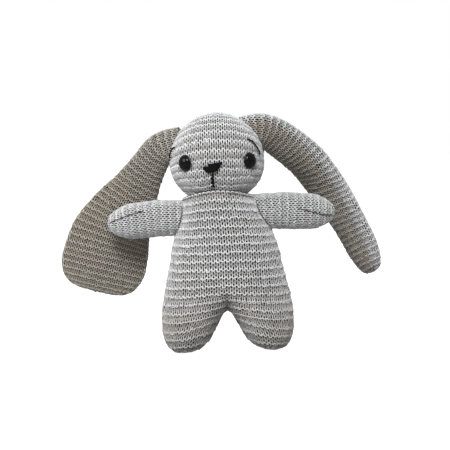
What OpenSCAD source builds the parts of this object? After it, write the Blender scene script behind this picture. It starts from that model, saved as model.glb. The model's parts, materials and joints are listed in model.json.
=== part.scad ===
// Stuffed bunny: knitted bags packed with filling, floppy paddle ears sewn to the
// sides of the head, stub arms, and a pear-shaped body that ends in two short legs.
// +Z is up, the face looks along -Y, and "left" is the toy's own left, along +X.
// The toy stands on the floor at Z = 0, with the origin under its middle.

/* [Head] */
// Width of the head
head_w = 76; // [64:1:90]
// Depth of the head, front to back
head_d = 68; // [56:1:78]
// Height of the head above its middle
head_up = 38; // [32:1:46]
// Height of the head below its middle
head_down = 36; // [30:1:42]

/* [Body] */
// Height of the neck opening above the floor
neck_z = 124; // [104:1:150]
// Width across the hips
hip_w = 107; // [92:1:126]
// Width across the chest
chest_w = 85; // [74:1:98]
// Depth of the belly, front to back
belly_d = 58; // [50:1:68]
// Height of the crotch above the floor
crotch_z = 32.7; // [26:0.5:42]
// Sideways shift of the hips against the neck
hip_shift = 3.8; // [0:0.1:6]

/* [Arms] */
// Length of an arm from its round root to the tip
arm_len = 55; // [44:1:66]
// Thickness of an arm, seen from the front
arm_w = 29; // [24:0.5:34]
// Thickness of an arm, front to back
arm_d = 26; // [20:0.5:27]
// Drop of the right shoulder below the neck opening
shoulder_right_drop = 15; // [12:0.5:24]
// Drop of the left shoulder below the neck opening
shoulder_left_drop = 12.5; // [12:0.5:24]

/* [Ears] */
// Width of an ear where it is sewn to the head
ear_root_w = 25; // [20:0.5:28]
// Width of an ear at its broad end
ear_w = 71; // [56:1:80]
// Thickness of a filled ear
ear_t = 15; // [11:0.5:17]
// Twist of the left ear along its length
left_ear_twist = 66; // [40:1:74]

/* [Fabric] */
// Thickness of the knitted cover
cover_t = 2.4; // [1.6:0.1:3]
// Gap between a cover and its filling
fill_gap = 0.15; // [0.1:0.05:0.4]
// Diameter of the sewing thread
thread_d = 1.6; // [1:0.1:1.8]

/* [Face] */
// Diameter of an eye
eye_d = 14; // [10:0.5:16]
// Width of the embroidered nose
nose_w = 16; // [12:0.5:18]
// Height of the embroidered nose
nose_h = 7.2; // [5:0.2:9]
// Length of the mouth stitch
mouth_len = 11; // [7:0.5:13]

/* [Hidden] */

// Colours
knit = [0.63, 0.63, 0.63];
stuffing = [0.93, 0.93, 0.90];
black_thread = [0.06, 0.06, 0.06];
sewing_thread = [0.45, 0.43, 0.41];

// Facets round each surface, in even numbers
body_n = 40;
head_n = 24;
limb_n = 16;
thread_n = 6;

// Where the middle of the toy stands, front to back, so that its box is centred
front_shift = -15.6;
// Polar angle of the head's neck opening and of the neck seam, from straight down
head_open = 20;
neck_angle = 41;
// Space between the head and the filling below it, which holds the neck seam
neck_gap = 3.8;
// Space between a limb's round root and what it is sewn to
root_gap = 0.9;
// Height of the widest part of the hips
hip_z = 24;
// How far the leg ends would reach below the floor, which flattens them into soles
sole_dip = 2.6;

head_c = [0, front_shift, neck_z + cos(neck_angle) * (head_down + neck_gap)];
head_r = [head_w / 2, head_d / 2, head_up];

// ---- Curves and frames ----

// A smooth curve through evenly spaced values, at t from 0 to 1
function curve_at(p, t) =
    let (n = len(p) - 1, s = max(0, min(t * n, n - 0.000001)), i = floor(s), f = s - i)
    let (a = p[max(i - 1, 0)], b = p[i], c = p[i + 1], d = p[min(i + 2, n)])
    0.5 * (2 * b + (c - a) * f + (2 * a - 5 * b + 4 * c - d) * f * f + (3 * b - a - 3 * c + d) * f * f * f);

function unit(v) = v / norm(v);

// The part of v at right angles to the unit vector d, as a unit vector
function square_to(v, d) = unit(v - (v * d) * d);

// ---- Skins: lists of rings, each a closed loop of an even number of points ----

function join_rings(rings) = [for (ring = rings) each ring];

// Triangles between neighbouring rings, from index base on, turned over by flip
function side_faces(n, rings, base, flip) = [
    for (i = [0 : rings - 2], j = [0 : n - 1])
    let (k = (j + 1) % n, a = base + i * n + j, b = base + i * n + k, c = a + n, d = b + n)
    each (flip ? [[a, b, c], [b, d, c]] : [[a, c, b], [b, c, d]])];

// Triangles that close a ring with a strip from side to side
function strip_faces(n, base, flip) = [
    for (j = [0 : n / 2 - 1])
    let (a = base + j, b = base + j + 1, c = base + (n - j) % n, d = base + n - j - 1)
    each (j == 0 ? [flip ? [a, d, b] : [a, b, d]]
        : j == n / 2 - 1 ? [flip ? [a, c, b] : [a, b, c]]
        : flip ? [[a, d, b], [a, c, d]] : [[a, b, d], [a, d, c]])];

// A closed solid between the first ring and the last
module filled(rings) {
    n = len(rings[0]);
    last = (len(rings) - 1) * n;
    polyhedron(join_rings(rings), concat(side_faces(n, len(rings), 0, false),
        strip_faces(n, 0, false), strip_faces(n, last, true)));
}

// A bag with a wall from the outer rings to the inner ones, open at the first ring
module bag(outer, inner) {
    n = len(outer[0]);
    base = len(outer) * n;
    rim = [for (j = [0 : n - 1]) let (k = (j + 1) % n) each [[j, k, base + k], [j, base + k, base + j]]];
    polyhedron(concat(join_rings(outer), join_rings(inner)), concat(
        side_faces(n, len(outer), 0, false), strip_faces(n, base - n, true),
        side_faces(n, len(inner), base, true), strip_faces(n, base + (len(inner) - 1) * n, false),
        rim));
}

// A thread of diameter d along points, with up as its frame's upward hint
module thread(points, d, up) {
    last = len(points) - 1;
    filled([for (i = [0 : last])
        let (dir = unit(points[min(i + 1, last)] - points[max(i - 1, 0)]))
        let (side = square_to(up, dir), out = cross(side, dir))
        [for (j = [0 : thread_n - 1]) let (a = -360 * j / thread_n)
            points[i] + d / 2 * (cos(a) * side + sin(a) * out)]]);
}

// A closed ring of thread through points, with the middle of the ring given
module thread_ring(points, d, middle) {
    n = len(points);
    rings = [for (i = [0 : n - 1])
        let (dir = unit(points[(i + 1) % n] - points[(i + n - 1) % n]))
        let (side = square_to(points[i] - middle, dir), out = cross(side, dir))
        [for (j = [0 : thread_n - 1]) let (a = -360 * j / thread_n)
            points[i] + d / 2 * (cos(a) * side + sin(a) * out)]];
    m = thread_n;
    polyhedron(join_rings(rings), [for (i = [0 : n - 1], j = [0 : m - 1])
        let (next = (i + 1) % n, k = (j + 1) % m)
        let (a = i * m + j, b = i * m + k, c = next * m + j, e = next * m + k)
        each [[a, c, b], [b, c, e]]]);
}

// ---- Head: an egg, wider above its middle, with rings about the vertical ----

function head_ring(angle, inset) =
    let (down = cos(angle) > 0 ? head_down : head_up)
    [for (j = [0 : head_n - 1]) let (a = 360 * j / head_n)
        head_c + [(head_r.x - inset) * sin(angle) * cos(a), (head_r.y - inset) * sin(angle) * sin(a),
            -(down - inset) * cos(angle)]];

head_angles = [head_open, 31, 42, 53, 64, 76, 90, 103, 115, 127, 139, 151, 162, 172];

function head_rings(inset) = [for (a = head_angles) head_ring(a, inset)];

// The point on the head in the direction aim, in which the egg is a unit ball, lifted by lift
function head_skin(aim, lift) =
    let (d = unit(aim), h = d.z > 0 ? head_up : head_down)
    head_c + [head_r.x * d.x, head_r.y * d.y, h * d.z]
        + lift * unit([d.x / head_r.x, d.y / head_r.y, d.z / h]);

// A ring of points on the head round the direction aim, at angle wide from it
function head_loop(aim, wide, lift, n) =
    let (d = unit(aim), e = square_to([0, 1, 0], d), f = cross(d, e))
    [for (j = [0 : n - 1]) let (a = 360 * j / n)
        head_skin(cos(wide) * d + sin(wide) * (cos(a) * e + sin(a) * f), lift)];

// The point on the front of the head at x across and z up from its middle, lifted by lift
function face_point(x, z, lift) =
    let (h = z > 0 ? head_up : head_down)
    let (y = -head_r.y * sqrt(max(0, 1 - pow(x / head_r.x, 2) - pow(z / h, 2))))
    head_c + [x, y, z] + lift * unit([x / pow(head_r.x, 2), y / pow(head_r.y, 2), z / pow(h, 2)]);

// ---- Body: a pear whose rings bend down to the outline of two legs ----

neck_half = head_r.x * 0.77;
// Half widths and half depths from the neck to the hips, evenly spaced in height
body_half = [neck_half, chest_w * 0.43, chest_w * 0.505, hip_w * 0.437, hip_w * 0.48, hip_w / 2];
body_depth = [head_r.y * 0.8, belly_d * 0.46, belly_d * 0.5, belly_d * 0.5, belly_d * 0.48];
// The bottom outline from the right hip round the right leg to the crotch, at a half hip width of 1
leg_side = [[-1, hip_z], [-0.95, 9.5], [-0.745, -sole_dip], [-0.475, -sole_dip], [-0.28, 8.5],
    [-0.12, crotch_z * 0.66]];
leg_outline = concat(leg_side, [[0, crotch_z]], [for (i = [len(leg_side) - 1 : -1 : 0])
    [-leg_side[i].x, leg_side[i].y]]);
// Where the front and back start to close, as a share of the way down, and how far round they go
close_from = 0.74;
close_angle = 86;

// A point on the body: across is the angle round it, 0 at the left, 90 at the front;
// k runs from 0 at the neck to 1 at the bottom seam, and the last share of it closes the legs
function body_skin(across, k) =
    let (turn = k < close_from ? 0 : (k - close_from) / (1 - close_from) * close_angle)
    let (v = k < close_from ? k : close_from + (1 - close_from) * sin(turn))
    let (s = cos(across), w = v * v, outline = curve_at(leg_outline, (s + 1) / 2))
    let (half = curve_at(body_half, v), z = neck_z + v * (hip_z - neck_z) + w * (outline.y - hip_z))
    [hip_shift * sin(90 * min(1, v * 2)) + half * ((1 - w) * s + w * outline.x),
        front_shift - curve_at(body_depth, v) * sin(across) * cos(turn), z];

// The same point moved inwards by inset along the surface's own normal, and kept off the floor
function body_point(across, k, inset) =
    let (p = body_skin(across, k), e = 0.004)
    let (du = body_skin(across + 2, k) - body_skin(across - 2, k))
    let (dv = body_skin(across, min(k + e, 1)) - body_skin(across, max(k - e, 0)))
    let (q = p - inset * unit(cross(du, dv)))
    [q.x, q.y, max(q.z, inset)];

function body_ring(k, inset) = [for (j = [0 : body_n - 1]) body_point(360 * j / body_n, k, inset)];

body_steps = [0, 0.06, 0.14, 0.23, 0.32, 0.41, 0.5, 0.59, 0.67, close_from, 0.79, 0.84, 0.88, 0.92, 0.96, 1];

function body_rings(inset) = [for (k = body_steps) body_ring(k, inset)];

// The hollow top of the filling, in which the head sits
function seat_ring(angle) =
    [for (j = [0 : body_n - 1]) let (a = -360 * j / body_n)
        head_c + [(head_r.x + neck_gap) * sin(angle) * cos(a), (head_r.y + neck_gap) * sin(angle) * sin(a),
            -(head_down + neck_gap) * cos(angle)]];

seat_angles = [6, 18, 29];

// Height and depth give the place on the body's side, which is +1 for left and -1 for right
function side_point(side, y, z, lift) =
    let (v = (neck_z - z) / (neck_z - hip_z))
    let (half = curve_at(body_half, v), deep = curve_at(body_depth, v))
    [hip_shift * sin(90 * min(1, v * 2)) + side * (half * sqrt(1 - pow(y / deep, 2)) + lift),
        front_shift + y, z];

// ---- Limbs: a round root, a shaft along a path, and a rounded tip ----

dome_angles = [26, 48, 70, 90];
tip_angles = [0, 26, 48, 66, 82];

// The rings of a limb, from its root dome to its tip. path: points from the root; halves, depths:
// half sizes along it; length: its own; tip: how much of that is its rounded end; shaft: how many
// rings lie between; power: how square the end is, less than 1 for squarer
function limb_rings(path, halves, depths, twist, length, tip, shaft, power, inset) =
    let (r0 = halves[0] - inset, e0 = depths[0] - inset)
    concat(
        [for (a = dome_angles) limb_ring(path, 0, twist, r0 * sin(a), e0 * sin(a), -r0 * cos(a))],
        [for (i = [1 : shaft]) let (t = i / (shaft + 1) * (1 - tip / length))
            limb_ring(path, t, twist, curve_at(halves, t) - inset, curve_at(depths, t) - inset, 0)],
        [for (a = tip_angles)
            let (t = 1 - (tip - (tip - inset) * sin(a)) / length, k = pow(cos(a), power))
            limb_ring(path, t, twist, (curve_at(halves, t) - inset) * k,
                (curve_at(depths, t) - inset) * cos(a), 0)]);

// The direction of the path at t, and the directions of the limb's width and depth there
function limb_frame(path, t, twist) =
    let (dir = unit(curve_at(path, t + 0.01) - curve_at(path, t - 0.01 < 0 ? 0 : t - 0.01)))
    let (wide = square_to([dir.z, 0, -dir.x], dir), thick = cross(dir, wide))
    let (a = twist * sin(90 * min(1, t * 1.25)))
    [dir, cos(a) * wide + sin(a) * thick, cos(a) * thick - sin(a) * wide];

// A ring at t, moved by along in the path's direction
function limb_ring(path, t, twist, half, deep, along) =
    let (f = limb_frame(path, min(t, 0.985), twist), p = curve_at(path, t) + along * f[0])
    [for (j = [0 : limb_n - 1]) let (a = 360 * j / limb_n) p + half * cos(a) * f[1] + deep * sin(a) * f[2]];

// Arms: side is +1 for left and -1 for right. The round root rests on the body's sloping side
function shoulder_z(side) = neck_z - (side > 0 ? shoulder_left_drop : shoulder_right_drop);
function shoulder(side) =
    let (z = shoulder_z(side), p = side_point(side, 0, z, 0))
    let (slope = (side_point(side, 0, z - 2, 0) - side_point(side, 0, z + 2, 0)).x * side / 4)
    p + (arm_root_r + root_gap) * sqrt(1 + slope * slope) * [side, 0, 0];
arm_root_r = arm_w * 0.45;
arm_reach = arm_len - arm_root_r;
arm_droop = 0.07;
function arm_path(side) = [for (i = [0 : 3]) shoulder(side) + arm_reach * i / 3 * [side, 0, -arm_droop]];
arm_halves = [arm_root_r, arm_w * 0.485, arm_w * 0.5, arm_w * 0.5];
arm_depths = [arm_d * 0.46, arm_d * 0.49, arm_d * 0.5, arm_d * 0.5];
arm_tip = arm_w * 0.46;
function arm_rings(side, inset) =
    limb_rings(arm_path(side), arm_halves, arm_depths, 0, arm_reach, arm_tip, 2, 0.9, inset);

// Ears: a round root that rests on the head's side, and a middle line from it, chosen by hand
right_ear_aim = [-0.959, 0.201, 0.2];
left_ear_aim = [0.886, 0.174, 0.428];
right_ear_line = [[0, 0, 0], [-9.5, 9, -14], [-18.5, 15.5, -31], [-29.5, 18, -52], [-40.5, 18, -74],
    [-48, 17, -95], [-53, 16, -112]];
left_ear_line = [[0, 0, 0], [15.5, 12, -16], [30.5, 22, -33], [44.5, 29, -52], [57, 32, -72],
    [68.5, 31, -94], [77.5, 28, -116]];
function ear_aim(side) = side > 0 ? left_ear_aim : right_ear_aim;
function ear_root(side) = head_skin(ear_aim(side), ear_root_w / 2 + root_gap);
function ear_path(side) = [for (p = side > 0 ? left_ear_line : right_ear_line) ear_root(side) + p];
ear_len = 132;
// The left ear is curled along its length, so it is narrower and thicker than the right one
function ear_halves(side) = let (w = ear_w / 2, r = ear_root_w / 2)
    side > 0 ? [r, 0.49 * w, 0.62 * w, 0.76 * w, 0.82 * w, 0.82 * w, 0.76 * w]
        : [r, 0.457 * w, 0.62 * w, 0.82 * w, 0.965 * w, w, 0.97 * w];
function ear_depths(side) = let (t = ear_t / 2 * (side > 0 ? 1.15 : 1))
    [ear_root_w * 0.3, t * 0.96, t, t, t, t, t * 0.96];
ear_tip = 22;
function ear_rings(side, inset) = limb_rings(ear_path(side), ear_halves(side), ear_depths(side),
    side > 0 ? left_ear_twist : 0, ear_len, ear_tip, 6, 0.62, inset);

// ---- Modules ----

module body_cover() {
    color(knit) bag(body_rings(0), body_rings(cover_t));
}

module body_filling() {
    inset = cover_t + fill_gap;
    color(stuffing) filled(concat([for (a = seat_angles) seat_ring(a)], body_rings(inset)));
}

module head_cover() {
    color(knit) bag(head_rings(0), head_rings(cover_t));
}

module head_filling() {
    color(stuffing) filled(head_rings(cover_t + fill_gap));
}

module arm_cover(side) {
    color(knit) bag(arm_rings(side, 0), arm_rings(side, cover_t));
}

module arm_filling(side) {
    color(stuffing) filled(arm_rings(side, cover_t + fill_gap));
}

module ear_cover(side) {
    color(knit) bag(ear_rings(side, 0), ear_rings(side, cover_t));
}

module ear_filling(side) {
    color(stuffing) filled(ear_rings(side, cover_t + fill_gap));
}

// The face is laid out on a head 76 wide, 38 above its middle and 36 below, and follows its size
face_share = head_w / 76;
high_share = head_up / 38;
low_share = head_down / 36;
face_x = -3.6 * face_share;

// Eyes: a glossy dome on a shank that passes between the stitches, held by a washer inside
eye_x = [26.4, -25.6] * face_share;
eye_z = -1.4 * low_share;
eye_dome = 0.37;
eye_rim = 0.8;
shank_r = 2;
shank_len = 9.5;
washer_r = 5.4;
washer_t = 1.6;
washer_depth = cover_t + 1.3;
// The washer's hole is this much smaller in radius than the shank, so that it grips
washer_grip = 0.05;
// Every stitched line lies this far off the fabric, and an eye's back too
skin_gap = 0.1;

module at_eye(side) {
    p = face_point(side > 0 ? eye_x[0] : eye_x[1], eye_z, 0);
    n = unit(face_point(side > 0 ? eye_x[0] : eye_x[1], eye_z, 1) - p);
    translate(p + skin_gap * n) rotate([0, acos(n.z), atan2(n.y, n.x)]) children();
}

module eye(side) {
    r = eye_d / 2;
    color(black_thread) at_eye(side) rotate_extrude($fn = 48) polygon(concat(
        [[0, -shank_len], [shank_r, -shank_len], [shank_r, 0], [r, 0], [r, eye_rim]],
        [for (a = [10 : 10 : 90]) [a == 90 ? 0 : r * cos(a), eye_rim + eye_d * eye_dome * sin(a)]]));
}

module eye_washer(side) {
    color("white") at_eye(side) translate([0, 0, -washer_depth - washer_t]) difference() {
        cylinder(h = washer_t, r = washer_r, $fn = 40);
        translate([0, 0, -1]) cylinder(h = washer_t + 2, r = shank_r - washer_grip, $fn = 40);
    }
}

// The nose is a pad of side-by-side satin strands that rises towards the left ear
nose_z = -5.7 * low_share;
nose_rise = 0.19;
strand_halves = [0.44, 0.5, 0.48, 0.4];

module nose_embroidery() {
    d = nose_h / 4 + 0.15;
    color(black_thread) for (i = [0 : 3]) {
        half = strand_halves[i] * nose_w;
        thread([for (q = [-1 : 0.25 : 1])
            face_point(face_x + q * half, nose_z + (1.5 - i) * (d + 0.05) + nose_rise * q * half,
                d / 2 + 0.1 - 0.25 * pow(q, 4))], d, [0, -1, 0]);
    }
}

mouth_top = -10.6 * low_share;
mouth_lean = 0.4;

module mouth_stitch() {
    color(black_thread) thread([for (q = [0 : 0.2 : 1])
        face_point(face_x + mouth_lean * (q - 0.5), mouth_top - mouth_len * q, thread_d / 2 + skin_gap)],
        thread_d, [0, -1, 0]);
}

// Each brow is a bent stitch outside and above its eye
left_brow = [[25, 15.2], [27.6, 13.1], [29.8, 10.3], [32, 6.6], [33.7, 2.4]];
right_brow = [[-32.8, 11.1], [-34.2, 9.3], [-35.2, 7.2], [-36, 5], [-36.4, 2.8]];
brow_d = thread_d * 0.8;

module eyebrow(side) {
    color(black_thread) thread([for (p = side > 0 ? left_brow : right_brow)
        face_point(p.x * face_share, p.y * high_share, brow_d / 2 + skin_gap)], brow_d, [side, -1, 0]);
}

// ---- Seams ----

module neck_seam() {
    points = [for (j = [0 : 31]) let (a = 360 * j / 32)
        head_c + [(head_r.x + neck_gap / 2) * sin(neck_angle) * cos(a),
            (head_r.y + neck_gap / 2) * sin(neck_angle) * sin(a),
            -(head_down + neck_gap / 2) * cos(neck_angle)]];
    color(sewing_thread) thread_ring(points, thread_d, [head_c.x, head_c.y, points[0].z]);
}

arm_seam_r = arm_w * 0.36;
seam_lift = thread_d / 2 + 0.35;

module arm_seam(side) {
    z = shoulder_z(side);
    points = [for (j = [0 : 15]) let (a = 360 * j / 16)
        side_point(side, arm_seam_r * cos(a), z + arm_seam_r * sin(a), seam_lift)];
    color(sewing_thread) thread_ring(points, thread_d, side_point(side, 0, z, 0));
}

ear_seam_angle = asin(ear_root_w * 0.38 / head_r.x);

module ear_seam(side) {
    aim = ear_aim(side);
    color(sewing_thread) thread_ring(head_loop(aim, ear_seam_angle, thread_d / 2 + skin_gap / 2, 16),
        thread_d, head_skin(aim, 0));
}

// A point on an arm's skin at t along it and angle a round it, lifted by lift
function arm_skin(side, t, a, lift) =
    let (path = arm_path(side), f = limb_frame(path, t, 0))
    curve_at(path, t) + (curve_at(arm_halves, t) + lift) * cos(a) * f[1]
        + (curve_at(arm_depths, t) + lift) * sin(a) * f[2];

// Each arm is sewn up along a line that winds a little round it, from one angle to another
side_seam_d = thread_d * 0.6;
side_seam_from = 0.06;
side_seam_share = 0.6;

module arm_side_seam(side) {
    high = side > 0 ? -101 : -59;
    low = side > 0 ? -72 : -82;
    color(sewing_thread) thread([for (q = [0 : 0.125 : 1])
        arm_skin(side, side_seam_from + side_seam_share * q, high + (low - high) * q,
            side_seam_d / 2 + skin_gap)], side_seam_d, [0, -1, 0]);
}

back_seam_top = neck_z - 24;
back_seam_low = neck_z - 74;

function back_point(z, lift) =
    let (v = (neck_z - z) / (neck_z - hip_z))
    [hip_shift * sin(90 * min(1, v * 2)), front_shift + curve_at(body_depth, v) + lift, z];

module back_seam() {
    color(sewing_thread) thread([for (q = [0 : 0.1 : 1])
        back_point(back_seam_top + (back_seam_low - back_seam_top) * q, thread_d / 2 + 0.25)],
        thread_d, [0, 1, 0]);
}

// The point of the bottom outline at an angle round the body
function crotch_point(a) =
    let (p = curve_at(leg_outline, (cos(a) + 1) / 2))
    [hip_shift + p.x * hip_w / 2, front_shift, p.y];

// The crotch seam follows the corners of the bottom outline, which lie one facet apart
module crotch_seam() {
    step = 360 / body_n;
    color(sewing_thread) thread([for (i = [2 : -1 : -2])
        let (a = 90 + i * step, dir = unit(crotch_point(a - 2) - crotch_point(a + 2)))
        crotch_point(a) + (thread_d / 2 + 0.2) * [dir.z, 0, -dir.x]], thread_d, [0, 1, 0]);
}

module crown_gather() {
    color(sewing_thread) thread_ring(head_loop([0, 0.12, 1], 8, thread_d / 2 + skin_gap / 2, 12),
        thread_d, head_skin([0, 0.12, 1], 0));
}

body_cover();
body_filling();
head_cover();
head_filling();
arm_cover(1);  // arm_cover_left
arm_cover(-1);  // arm_cover_right
arm_filling(1);  // arm_filling_left
arm_filling(-1);  // arm_filling_right
ear_cover(1);  // ear_cover_left
ear_cover(-1);  // ear_cover_right
ear_filling(1);  // ear_filling_left
ear_filling(-1);  // ear_filling_right
eye(1);  // eye_left
eye(-1);  // eye_right
eye_washer(1);  // eye_washer_left
eye_washer(-1);  // eye_washer_right
nose_embroidery();
mouth_stitch();
eyebrow(1);  // eyebrow_left
eyebrow(-1);  // eyebrow_right
neck_seam();
arm_seam(1);  // arm_seam_left
arm_seam(-1);  // arm_seam_right
ear_seam(1);  // ear_seam_left
ear_seam(-1);  // ear_seam_right
arm_side_seam(1);  // arm_side_seam_left
arm_side_seam(-1);  // arm_side_seam_right
back_seam();
crotch_seam();
crown_gather();
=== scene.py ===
"""A knitted stuffed bunny, dressed in real yarn. Every course of every bag is a tube of yarn that
runs through its garter stitches. Under it lie a dark lining, painted shade that shows through the
stitches, and the white stuffing, and the cloth solver has filled the skin that all three follow."""
import json
import math

import bpy
import numpy as np
from mathutils import Matrix, Vector


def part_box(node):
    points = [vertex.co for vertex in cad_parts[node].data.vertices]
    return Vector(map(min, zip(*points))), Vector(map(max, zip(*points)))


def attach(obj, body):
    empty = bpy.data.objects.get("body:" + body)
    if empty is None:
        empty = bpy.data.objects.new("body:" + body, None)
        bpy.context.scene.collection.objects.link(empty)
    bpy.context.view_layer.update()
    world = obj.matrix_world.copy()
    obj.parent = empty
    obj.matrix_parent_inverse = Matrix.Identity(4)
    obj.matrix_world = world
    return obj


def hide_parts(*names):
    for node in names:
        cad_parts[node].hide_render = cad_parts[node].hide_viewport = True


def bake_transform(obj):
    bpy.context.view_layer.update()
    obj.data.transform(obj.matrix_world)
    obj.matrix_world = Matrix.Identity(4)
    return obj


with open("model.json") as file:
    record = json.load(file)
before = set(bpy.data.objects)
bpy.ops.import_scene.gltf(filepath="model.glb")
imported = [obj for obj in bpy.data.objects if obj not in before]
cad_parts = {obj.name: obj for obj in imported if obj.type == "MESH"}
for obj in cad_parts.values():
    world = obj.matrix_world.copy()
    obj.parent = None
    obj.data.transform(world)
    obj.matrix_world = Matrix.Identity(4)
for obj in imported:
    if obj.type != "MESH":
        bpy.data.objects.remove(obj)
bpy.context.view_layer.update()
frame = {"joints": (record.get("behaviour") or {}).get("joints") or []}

# ---- Sizes, in metres, from the frame ----

MM = 0.001
head_low, head_high = (np.array(corner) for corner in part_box("head_cover"))
body_low, body_high = (np.array(corner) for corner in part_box("body_cover"))
joints = {joint["name"]: np.array(joint["pos_m"]) for joint in frame["joints"]}
head_middle = joints["head_tilt"]
head_wide = (head_high[0] - head_low[0]) / 2
head_deep = (head_high[1] - head_low[1]) / 2
head_up = head_high[2] - head_middle[2]
head_down = 36 * MM
front_shift = head_middle[1]
neck_z = body_high[2]
hip_shift = (body_low[0] + body_high[0]) / 2
hip_half = (body_high[0] - body_low[0]) / 2
belly_half = (body_high[1] - body_low[1]) / 2
hip_z = 24 * MM  # the height of the body's widest row


# ---- Camera ----

def aim(thing, target, roll=0.0):
    """Turns a lamp or camera towards target, then about its own line of sight by roll degrees."""
    look = Vector(target) - thing.location
    turn = look.to_track_quat("-Z", "Y").to_matrix()
    thing.rotation_euler = (turn @ Matrix.Rotation(math.radians(roll), 3, "Z")).to_euler()


def add_camera():
    """The camera looks from the front, a little above level, with a slight roll."""
    data = bpy.data.cameras.new("camera")
    data.lens = 135
    data.sensor_width = 36
    camera = bpy.data.objects.new("camera", data)
    bpy.context.scene.collection.objects.link(camera)
    target = Vector((4.4 * MM, front_shift, 101.6 * MM))
    distance, height = 1.35, math.radians(3.0)
    camera.location = target + distance * Vector((0, -math.cos(height), math.sin(height)))
    aim(camera, target, -2.2)
    bpy.context.scene.camera = camera


add_camera()


# ---- Curves and skins ----

def curve(values, t):
    """A Catmull-Rom curve through evenly spaced values, at t from 0 to 1: each stretch is the cubic
    that meets its two ends with the slope between their neighbours."""
    values = np.asarray(values, float)
    last = len(values) - 1
    t = np.clip(np.asarray(t, float) * last, 0, last - 1e-9)
    i = np.floor(t).astype(int)
    f = t - i
    if values.ndim > 1:
        f = f[..., None]
    a, b = values[np.maximum(i - 1, 0)], values[i]
    c, d = values[i + 1], values[np.minimum(i + 2, last)]
    return 0.5 * (2 * b + (c - a) * f + (2 * a - 5 * b + 4 * c - d) * f ** 2
                  + (3 * b - a - 3 * c + d) * f ** 3)


def unit(v):
    """Vectors at length one."""
    return v / np.maximum(np.linalg.norm(v, axis=-1, keepdims=True), 1e-12)


def outward(skin):
    """The outward normal of a grid of rows and closed columns: the cross product of the steps round
    and along it, turned away from the middle of each row."""
    around = np.roll(skin, -1, 1) - np.roll(skin, 1, 1)
    along = np.gradient(skin, axis=0)
    normal = unit(np.cross(around, along))
    away = skin - skin.mean(1, keepdims=True)
    return normal if (normal * away).sum() > 0 else -normal


def sample(grid, row, column):
    """Reads a grid between its points, by straight lines along its rows and its closed columns."""
    rows, columns = grid.shape[:2]
    row = np.clip(row, 0, rows - 1.000001)
    i, j = np.floor(row).astype(int), np.floor(column).astype(int)
    f, g = (row - i)[..., None], (column - j)[..., None]
    j, k = j % columns, (j + 1) % columns
    return ((1 - f) * ((1 - g) * grid[i, j] + g * grid[i, k])
            + f * ((1 - g) * grid[i + 1, j] + g * grid[i + 1, k]))


ROWS, COLUMNS = 150, 144  # of a skin's grid


def round_angles(count):
    """Evenly spaced angles once round, in radians."""
    return np.linspace(0, 2 * np.pi, count, endpoint=False)


def grid_axes(rows=ROWS):
    """The share along a skin, from 0 to 1, and the angle round it, as a column and a row."""
    return np.linspace(0, 1, rows)[:, None], round_angles(COLUMNS)[None, :]


EYES = {"left": (26.4, -1.4), "right": (-25.6, -1.4)}  # x and z from the head's middle, in mm


def head_skin():
    """An egg about the head's middle. Each row is a small circle of the unit ball, whose axis leans
    back towards the crown and towards the neck, so the rows spread on the face; the ball is then
    stretched to the egg's half sizes. Bell curves of the distance, in millimetres, sink the skin
    under the eyes, nose and mouth and raise it at the cheeks."""
    k, a = grid_axes()
    fall = np.radians(20 + (177 - 20) * k)
    lean = np.radians(curve([12, -2, -14, -30, -36, -19.3], k))
    x = np.sin(fall) * np.cos(a)
    y = -np.sin(fall) * np.sin(a)
    z = -np.cos(fall) + 0 * a
    y, z = y * np.cos(lean) - z * np.sin(lean), y * np.sin(lean) + z * np.cos(lean)
    high = np.where(z > 0, head_up, head_down)
    cheeks = 1 + 0.03 * np.exp(-((z + 0.45) / 0.35) ** 2)
    skin = head_middle + np.stack([head_wide * x * cheeks, head_deep * y, high * z], -1)
    side, up = (skin[..., 0] - head_middle[0]) / MM, (skin[..., 2] - head_middle[2]) / MM
    sink = 0
    for eye_x, eye_z in EYES.values():
        sink = sink + 1.6 * np.exp(-(((side - eye_x) ** 2 + (up - eye_z) ** 2) / 75) ** 2)
    sink = sink + 1.1 * np.exp(-((side + 3.6) / 8.5) ** 4 - ((up + 6) / 5) ** 4)  # nose
    sink = sink + 1.9 * np.exp(-((side + 3.6) / 3.2) ** 2 - ((up + 21) / 10) ** 4)  # mouth
    for cheek in (-17, 10):
        sink = sink - 1.7 * np.exp(-((side - cheek) / 9) ** 2 - ((up + 19) / 8.5) ** 2)
    return skin - ((y < 0) * sink)[..., None] * MM * outward(skin)


BODY_WIDTHS = np.array([0, 0.683, 0.802, 0.874, 0.96, 1]) * hip_half
BODY_WIDTHS[0] = 0.77 * head_wide
BODY_DEPTHS = np.array([0.98, 0.95, 1, 1, 0.96]) * belly_half
LEG_DEPTHS = np.array([0.96, 0.965, 0.95, 0.9, 0.8, 0.62, 0.38]) * belly_half
# Outlines of a leg from the front: x as a share of the hips' half width, and z in millimetres.
INNER_LEG = np.array([[0, 32.7], [0.07, 29.5], [0.16, 20.5], [0.225, 13.5], [0.31, 7.6],
                      [0.43, 3.2], [0.55, 1.2]])
OUTER_LEG = np.array([[1, 26], [0.995, 19.5], [0.98, 13.5], [0.95, 8.6], [0.895, 4.2], [0.81, 1.4],
                      [0.72, 0.7]])
LEG_TOP, FORK_RISE = OUTER_LEG[0, 1], INNER_LEG[0, 1] - OUTER_LEG[0, 1]


def body_sizes(v):
    """The body's half width, half depth and sideways shift, at v from 0, neck, to 1, hips."""
    shift = hip_shift * np.sin(np.pi / 2 * np.minimum(1, v * 2))
    return curve(BODY_WIDTHS, v), curve(BODY_DEPTHS, v), shift


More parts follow.
